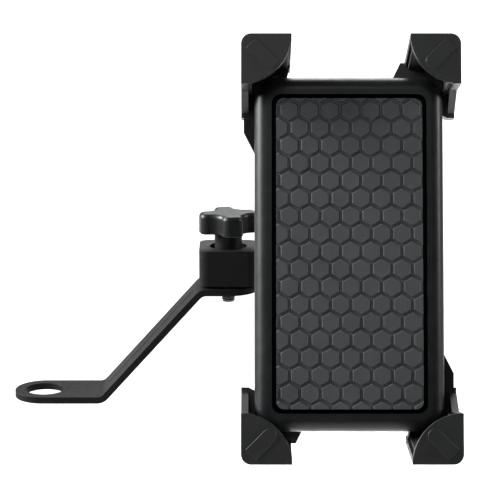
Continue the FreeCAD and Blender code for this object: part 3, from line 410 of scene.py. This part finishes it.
def calc(tree, operation, first, second=None):
    node = tree.nodes.new("ShaderNodeMath")
    node.operation = operation
    for index, value in enumerate((first, second)):
        if value is None:
            continue
        if isinstance(value, (int, float)):
            node.inputs[index].default_value = value
        else:
            tree.links.new(value, node.inputs[index])
    return node.outputs[0]


def vectorOf(tree, x=0.0, y=0.0, z=0.0):
    node = tree.nodes.new("ShaderNodeCombineXYZ")
    for index, value in enumerate((x, y, z)):
        if isinstance(value, (int, float)):
            node.inputs[index].default_value = value
        else:
            tree.links.new(value, node.inputs[index])
    return node.outputs[0]


def honeycombTree():
    tree, given, result = geometryTree("honeycomb", [
        ("Pitch", "NodeSocketFloat", 0.0068), ("Cell", "NodeSocketFloat", 0.0057),
        ("Wall lean", "NodeSocketFloat", 0.0002), ("Height", "NodeSocketFloat", 0.0005),
        ("Crown", "NodeSocketFloat", 0.94), ("Columns", "NodeSocketInt", 9),
        ("Rows", "NodeSocketInt", 19), ("Shift", "NodeSocketVector", None),
        ("Width", "NodeSocketFloat", 0.049), ("Length", "NodeSocketFloat", 0.104),
        ("Corner", "NodeSocketFloat", 0.0026), ("Thickness", "NodeSocketFloat", 0.001),
        ("Material", "NodeSocketMaterial", None),
    ])
    link = tree.links.new
    out = given.outputs
    radius = calc(tree, "DIVIDE", out["Cell"], math.sqrt(3))
    cone = tree.nodes.new("GeometryNodeMeshCone")
    cone.fill_type = "NGON"
    cone.inputs["Vertices"].default_value = 6
    link(calc(tree, "SUBTRACT", radius, out["Wall lean"]), cone.inputs["Radius Top"])
    link(radius, cone.inputs["Radius Bottom"])
    link(out["Height"], cone.inputs["Depth"])
    crown = tree.nodes.new("GeometryNodeExtrudeMesh")
    crown.mode = "FACES"
    link(cone.outputs["Mesh"], crown.inputs["Mesh"])
    link(cone.outputs["Top"], crown.inputs["Selection"])
    link(calc(tree, "MULTIPLY", out["Height"], 0.18), crown.inputs["Offset Scale"])
    shrink = tree.nodes.new("GeometryNodeScaleElements")
    link(crown.outputs["Mesh"], shrink.inputs["Geometry"])
    link(crown.outputs["Top"], shrink.inputs["Selection"])
    link(out["Crown"], shrink.inputs["Scale"])
    grids = []
    rowPitch = calc(tree, "MULTIPLY", out["Pitch"], math.sqrt(3) / 2)
    for odd in (0, 1):
        grid = tree.nodes.new("GeometryNodeMeshGrid")
        pairs = calc(tree, "FLOOR", calc(tree, "DIVIDE", out["Rows"], 2))
        rows = calc(tree, "ADD", pairs, 1 - odd)
        link(out["Columns"], grid.inputs["Vertices X"])
        link(rows, grid.inputs["Vertices Y"])
        spanX = calc(tree, "MULTIPLY", calc(tree, "SUBTRACT", out["Columns"], 1), out["Pitch"])
        gaps = calc(tree, "SUBTRACT", rows, 1)
        spanY = calc(tree, "MULTIPLY", gaps, calc(tree, "MULTIPLY", rowPitch, 2))
        link(spanX, grid.inputs["Size X"])
        link(spanY, grid.inputs["Size Y"])
        move = tree.nodes.new("GeometryNodeTransform")
        link(grid.outputs["Mesh"], move.inputs["Geometry"])
        aside = calc(tree, "MULTIPLY", out["Pitch"], 0.5 * odd)
        link(vectorOf(tree, aside), move.inputs["Translation"])
        grids.append(move.outputs["Geometry"])
    joinGrids = tree.nodes.new("GeometryNodeJoinGeometry")
    for grid in grids:
        link(grid, joinGrids.inputs["Geometry"])
    scatter = tree.nodes.new("GeometryNodeInstanceOnPoints")
    link(joinGrids.outputs["Geometry"], scatter.inputs["Points"])
    link(shrink.outputs["Geometry"], scatter.inputs["Instance"])
    scatter.inputs["Rotation"].default_value = (0, 0, math.radians(30))
    cells = tree.nodes.new("GeometryNodeRealizeInstances")
    link(scatter.outputs["Instances"], cells.inputs["Geometry"])
    centred = tree.nodes.new("GeometryNodeTransform")
    link(cells.outputs["Geometry"], centred.inputs["Geometry"])
    link(out["Shift"], centred.inputs["Translation"])

    def slab(thickness, drop):
        outline = tree.nodes.new("GeometryNodeCurvePrimitiveQuadrilateral")
        link(out["Width"], outline.inputs["Width"])
        link(out["Length"], outline.inputs["Height"])
        rounded = tree.nodes.new("GeometryNodeFilletCurve")
        rounded.mode = "POLY"
        rounded.inputs["Count"].default_value = 8
        link(outline.outputs["Curve"], rounded.inputs["Curve"])
        link(out["Corner"], rounded.inputs["Radius"])
        fill = tree.nodes.new("GeometryNodeFillCurve")
        fill.mode = "NGONS"
        link(rounded.outputs["Curve"], fill.inputs["Curve"])
        thick = tree.nodes.new("GeometryNodeExtrudeMesh")
        thick.inputs["Individual"].default_value = False
        link(fill.outputs["Mesh"], thick.inputs["Mesh"])
        link(thickness, thick.inputs["Offset Scale"])
        base = tree.nodes.new("GeometryNodeFlipFaces")
        link(fill.outputs["Mesh"], base.inputs["Mesh"])
        both = tree.nodes.new("GeometryNodeJoinGeometry")
        link(thick.outputs["Mesh"], both.inputs["Geometry"])
        link(base.outputs["Mesh"], both.inputs["Geometry"])
        merge = tree.nodes.new("GeometryNodeMergeByDistance")
        merge.inputs["Distance"].default_value = 1e-6
        link(both.outputs["Geometry"], merge.inputs["Geometry"])
        shift = tree.nodes.new("GeometryNodeTransform")
        link(merge.outputs["Geometry"], shift.inputs["Geometry"])
        link(vectorOf(tree, 0.0, 0.0, drop), shift.inputs["Translation"])
        return shift.outputs["Geometry"]

    tall = calc(tree, "MULTIPLY", out["Height"], 4.0)
    cutter = slab(tall, calc(tree, "MULTIPLY", tall, -0.5))
    trim = tree.nodes.new("GeometryNodeMeshBoolean")
    trim.operation = "INTERSECT"
    link(centred.outputs["Geometry"], trim.inputs["Mesh 2"])
    link(cutter, trim.inputs["Mesh 2"])
    base = slab(out["Thickness"], calc(tree, "MULTIPLY", out["Thickness"], -1.0))
    whole = tree.nodes.new("GeometryNodeJoinGeometry")
    link(trim.outputs["Mesh"], whole.inputs["Geometry"])
    link(base, whole.inputs["Geometry"])
    real = tree.nodes.new("GeometryNodeRealizeInstances")
    link(whole.outputs["Geometry"], real.inputs["Geometry"])
    paint = tree.nodes.new("GeometryNodeSetMaterial")
    link(real.outputs["Geometry"], paint.inputs["Geometry"])
    link(out["Material"], paint.inputs["Material"])
    link(paint.outputs["Geometry"], result.inputs["Geometry"])
    return tree


def grown(name, tree, values, start=None):  # runs a tree on a mesh and keeps the plain result
    piece = newPiece(name, start or bpy.data.meshes.new(name))
    modifier = piece.modifiers.new("nodes", "NODES")
    modifier.node_group = tree
    given = [item for item in tree.interface.items_tree if item.in_out == "INPUT"]
    sockets = {item.name: item.identifier for item in given}
    for label, value in values.items():
        modifier[sockets[label]] = value
    return settled(piece)


def makePad():
    low, high = inHolder("pad")
    relief = honeycomb["height"] * mm
    pad = grown("honeycombPad", honeycombTree(), {
        "Pitch": honeycomb["pitch"] * mm, "Cell": honeycomb["cell"] * mm,
        "Wall lean": honeycomb["wallLean"] * mm, "Height": relief,
        "Crown": honeycomb["crown"], "Columns": honeycomb["columns"], "Rows": honeycomb["rows"],
        "Shift": (honeycomb["shiftX"] * mm, honeycomb["shiftY"] * mm, 0.0),
        "Width": high.x - low.x, "Length": high.y - low.y,
        "Corner": honeycomb["corner"] * mm,
        "Thickness": high.z - low.z - relief, "Material": materials["siliconeRubber"],
    })
    pad.data.transform(Matrix.Translation((0, 0, high.z - relief)))
    intoHolder(pad.data)
    standFor(pad, "pad")
    print("pad faces:", len(pad.data.polygons))


makePad()


crossScrew = {
    "headWide": 5.4, "headTall": 1.8, "shankWide": 3.0,
    "slotLong": 3.3, "slotWide": 0.75, "slotDeep": 0.9,
}


def primitive(tree, kind, **inputs):
    node = tree.nodes.new(kind)
    for label, value in inputs.items():
        socket = node.inputs[label.replace("_", " ")]
        if hasattr(value, "is_linked"):
            tree.links.new(value, socket)
        else:
            socket.default_value = value
    return node


def raisedTier(tree, mesh, top, rise, scale):  # lifts the top face and draws it in
    lift = primitive(tree, "GeometryNodeExtrudeMesh", Mesh=mesh, Selection=top, Offset_Scale=rise)
    draw = primitive(tree, "GeometryNodeScaleElements", Geometry=lift.outputs["Mesh"],
                     Selection=lift.outputs["Top"], Scale=scale)
    return draw.outputs["Geometry"], lift.outputs["Top"]


def movedBy(tree, mesh, offset, turn=0.0):
    move = primitive(tree, "GeometryNodeTransform", Geometry=mesh, Translation=offset)
    move.inputs["Rotation"].default_value = (0, 0, turn)
    return move.outputs["Geometry"]


def screwTree():
    tree, given, result = geometryTree("crossScrews", [
        ("Places", "NodeSocketGeometry", None), ("Head wide", "NodeSocketFloat", 0.0054),
        ("Head tall", "NodeSocketFloat", 0.0018), ("Shank wide", "NodeSocketFloat", 0.003),
        ("Shank long", "NodeSocketFloat", 0.01), ("Slot long", "NodeSocketFloat", 0.0033),
        ("Slot wide", "NodeSocketFloat", 0.0008), ("Slot deep", "NodeSocketFloat", 0.0009),
        ("Material", "NodeSocketMaterial", None),
    ])
    out = given.outputs
    link = tree.links.new
    wall = calc(tree, "MULTIPLY", out["Head tall"], 0.55)
    head = primitive(tree, "GeometryNodeMeshCylinder", Vertices=40, Depth=wall,
                     Radius=calc(tree, "MULTIPLY", out["Head wide"], 0.5))
    dome, top = head.outputs["Mesh"], head.outputs["Top"]
    for share, scale in ((0.2, 0.93), (0.15, 0.86), (0.1, 0.7)):
        rise = calc(tree, "MULTIPLY", out["Head tall"], share)
        dome, top = raisedTier(tree, dome, top, rise, scale)
    dome = movedBy(tree, dome, vectorOf(tree, 0.0, 0.0, calc(tree, "MULTIPLY", wall, 0.5)))
    shank = primitive(tree, "GeometryNodeMeshCylinder", Vertices=24, Depth=out["Shank long"],
                      Radius=calc(tree, "MULTIPLY", out["Shank wide"], 0.5))
    drop = calc(tree, "SUBTRACT", calc(tree, "MULTIPLY", out["Shank long"], -0.5), -0.0001)
    shaft = movedBy(tree, shank.outputs["Mesh"], vectorOf(tree, 0.0, 0.0, drop))
    deep = calc(tree, "MULTIPLY", out["Slot deep"], 2)
    bar = primitive(tree, "GeometryNodeMeshCube",
                    Size=vectorOf(tree, out["Slot long"], out["Slot wide"], deep))
    lift = vectorOf(tree, 0.0, 0.0, out["Head tall"])
    cut = tree.nodes.new("GeometryNodeMeshBoolean")
    cut.operation = "DIFFERENCE"
    link(dome, cut.inputs["Mesh 1"])
    for turn in (0.0, math.pi / 2):
        link(movedBy(tree, bar.outputs["Mesh"], lift, turn), cut.inputs["Mesh 2"])
    whole = tree.nodes.new("GeometryNodeJoinGeometry")
    for part in (shaft, cut.outputs["Mesh"]):
        link(part, whole.inputs["Geometry"])
    scatter = primitive(tree, "GeometryNodeInstanceOnPoints", Points=out["Places"],
                        Instance=whole.outputs["Geometry"])
    turns = primitive(tree, "FunctionNodeRandomValue")
    turns.data_type = "FLOAT_VECTOR"
    turns.inputs[1].default_value = (math.pi, 0, math.pi)
    turns.inputs[0].default_value = (math.pi, 0, 0)
    link(turns.outputs[0], scatter.inputs["Rotation"])
    real = primitive(tree, "GeometryNodeRealizeInstances", Geometry=scatter.outputs["Instances"])
    paint = primitive(tree, "GeometryNodeSetMaterial", Geometry=real.outputs["Geometry"],
                      Material=out["Material"])
    link(paint.outputs["Geometry"], result.inputs["Geometry"])
    return tree


def screwPlaces(node):  # seat of each head, and the shank's length, in the holder's flat frame
    inward = holderFrame.inverted()
    bm = bmesh.new()
    bm.from_mesh(frame["nodes"][node].data)
    bmesh.ops.remove_doubles(bm, verts=bm.verts, dist=1e-6)
    bm.verts.ensure_lookup_table()
    waiting = set(range(len(bm.verts)))
    places = []
    while waiting:  # one screw is all the points that edges connect
        reached = [min(waiting)]
        screw = set(reached)
        while reached:
            near = {edge.other_vert(bm.verts[i]).index
                    for i in reached for edge in bm.verts[i].link_edges} - screw
            screw |= near
            reached = list(near)
        waiting -= screw
        points = [inward @ bm.verts[i].co for i in screw]
        span = [(min(p[i] for p in points), max(p[i] for p in points)) for i in range(3)]
        back = span[2][0] + crossScrew["headTall"] * mm
        places.append(((span[0][0] + span[0][1]) / 2, (span[1][0] + span[1][1]) / 2, back))
        shank = span[2][1] - back
    bm.free()
    return places, shank


def makeScrews(node, tree):
    places, shank = screwPlaces(node)
    points = bpy.data.meshes.new(node + "Places")
    points.from_pydata(places, [], [])
    screws = grown(node + "Cross", tree, {
        "Head wide": crossScrew["headWide"] * mm, "Head tall": crossScrew["headTall"] * mm,
        "Shank wide": crossScrew["shankWide"] * mm, "Shank long": shank,
        "Slot long": crossScrew["slotLong"] * mm, "Slot wide": crossScrew["slotWide"] * mm,
        "Slot deep": crossScrew["slotDeep"] * mm, "Material": materials["blackOxide"],
    }, points)
    intoHolder(screws.data)
    standFor(screws, node)
    return len(places)


screwNodes = ["cover_screws", "flange_screws"] + ["claw_screws_" + corner for corner in corners]
crossScrews = screwTree()
print("screws:", sum(makeScrews(node, crossScrews) for node in screwNodes))

thread = {"pitch": 0.8, "root": 2.12, "ridge": 0.36, "chamfer": 0.6}


def threadTree():
    tree, given, result = geometryTree("thread", [
        ("Length", "NodeSocketFloat", 0.03), ("Root", "NodeSocketFloat", 0.002),
        ("Ridge", "NodeSocketFloat", 0.0004), ("Pitch", "NodeSocketFloat", 0.0008),
        ("Chamfer", "NodeSocketFloat", 0.0006), ("Material", "NodeSocketMaterial", None),
    ])
    out = given.outputs
    link = tree.links.new
    ridgeLength = calc(tree, "SUBTRACT", out["Length"], calc(tree, "MULTIPLY", out["Chamfer"], 2))
    spiral = primitive(tree, "GeometryNodeCurveSpiral", Resolution=24, Start_Radius=out["Root"],
                       End_Radius=out["Root"], Height=ridgeLength,
                       Rotations=calc(tree, "DIVIDE", ridgeLength, out["Pitch"]))
    profile = primitive(tree, "GeometryNodeCurvePrimitiveCircle", Resolution=4, Radius=out["Ridge"])
    ridge = primitive(tree, "GeometryNodeCurveToMesh", Curve=spiral.outputs["Curve"],
                      Profile_Curve=profile.outputs["Curve"], Fill_Caps=True)
    ridges = movedBy(tree, ridge.outputs["Mesh"], vectorOf(tree, 0.0, 0.0, out["Chamfer"]))
    core = primitive(tree, "GeometryNodeMeshCylinder", Vertices=40, Radius=out["Root"],
                     Depth=out["Length"])
    half = calc(tree, "MULTIPLY", out["Length"], 0.5)
    cores = movedBy(tree, core.outputs["Mesh"], vectorOf(tree, 0.0, 0.0, half))
    both = tree.nodes.new("GeometryNodeJoinGeometry")
    for part in (ridges, cores):
        link(part, both.inputs["Geometry"])
    real = primitive(tree, "GeometryNodeRealizeInstances", Geometry=both.outputs["Geometry"])
    paint = primitive(tree, "GeometryNodeSetMaterial", Geometry=real.outputs["Geometry"],
                      Material=out["Material"])
    link(paint.outputs["Geometry"], result.inputs["Geometry"])
    return tree


def makeThread():
    low, high = (Vector(corner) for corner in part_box("knob_screw"))
    screw = grown("threadedScrew", threadTree(), {
        "Length": high.z - low.z, "Root": thread["root"] * mm, "Ridge": thread["ridge"] * mm,
        "Pitch": thread["pitch"] * mm, "Chamfer": thread["chamfer"] * mm,
        "Material": materials["blackOxide"],
    })
    middle = (low + high) / 2
    screw.data.transform(Matrix.Translation((middle.x, middle.y, low.z)))
    standFor(screw, "knob_screw")


makeThread()
print("thread cut")


studio = {"floorDrop": 0.30, "floorSize": 12.0, "floorGrey": 0.93, "floorRough": 0.9, "sky": 0.28}


def makeFloor():
    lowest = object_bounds()[0][2] - studio["floorDrop"]
    half = studio["floorSize"]
    mesh = bpy.data.meshes.new("floor")
    outline = [(-half, -half), (half, -half), (half, half), (-half, half)]
    mesh.from_pydata([(x, y, lowest) for x, y in outline], [], [(0, 1, 2, 3)])
    floor = newPiece("floor", mesh)
    material, _, shader = newMaterial("paleFloor")
    shader.inputs["Base Color"].default_value = grey(studio["floorGrey"])
    shader.inputs["Roughness"].default_value = studio["floorRough"]
    mesh.materials.append(material)


makeFloor()

lamps = {
    "left": {"at": (-0.95, 0.10, 0.62), "size": (1.10, 0.70),
        "power": 42, "spread": 80},
    "right": {"at": (1.15, -0.10, 0.50), "size": (0.25, 0.60),
        "power": 4.5, "spread": 80},
    "front": {"at": (-0.25, -1.25, 1.10), "size": (0.70, 0.40),
        "power": 1.9, "spread": 70},
    "back": {"at": (0.30, 0.95, 0.75), "size": (0.70, 0.70),
        "power": 2, "spread": 90},
    "backdrop": {"at": (0.0, 3.2, 2.6), "size": (3.0, 3.0),
        "power": 190, "spread": 180},
}


lampAims = {"object": (0.085, -0.03, 0.06), "backdrop": (0, 3.2, 0)}


def makeLamps():
    for name, lamp in lamps.items():
        light = bpy.data.lights.new(name, "AREA")
        light.shape = "RECTANGLE"
        light.size, light.size_y = lamp["size"]
        light.energy = lamp["power"]
        light.spread = math.radians(lamp["spread"])
        holder = bpy.data.objects.new(name, light)
        holder.location = lamp["at"]
        toward = Vector(lampAims["backdrop" if name == "backdrop" else "object"])
        aim = toward - Vector(lamp["at"])
        holder.rotation_euler = aim.to_track_quat("-Z", "Y").to_euler()
        bpy.context.scene.collection.objects.link(holder)
    world = bpy.data.worlds.new("studio")
    world.use_nodes = True
    sky = world.node_tree.nodes["Background"]
    sky.inputs["Color"].default_value = (1, 1, 1, 1)
    sky.inputs["Strength"].default_value = studio["sky"]
    bpy.context.scene.world = world


makeLamps()

shot = {"at": (0.0759, -0.6966, 0.2159), "down": 12.99, "lens": 141.2, "sensor": 36}


def makeCamera():
    camera = bpy.data.cameras.new("camera")
    camera.lens = shot["lens"]
    camera.sensor_width = shot["sensor"]
    holder = bpy.data.objects.new("camera", camera)
    holder.location = shot["at"]
    holder.rotation_euler = (math.radians(90 - shot["down"]), 0, 0)
    bpy.context.scene.collection.objects.link(holder)
    bpy.context.scene.camera = holder


makeCamera()
bpy.context.scene.view_settings.view_transform = "Standard"
print("studio set")
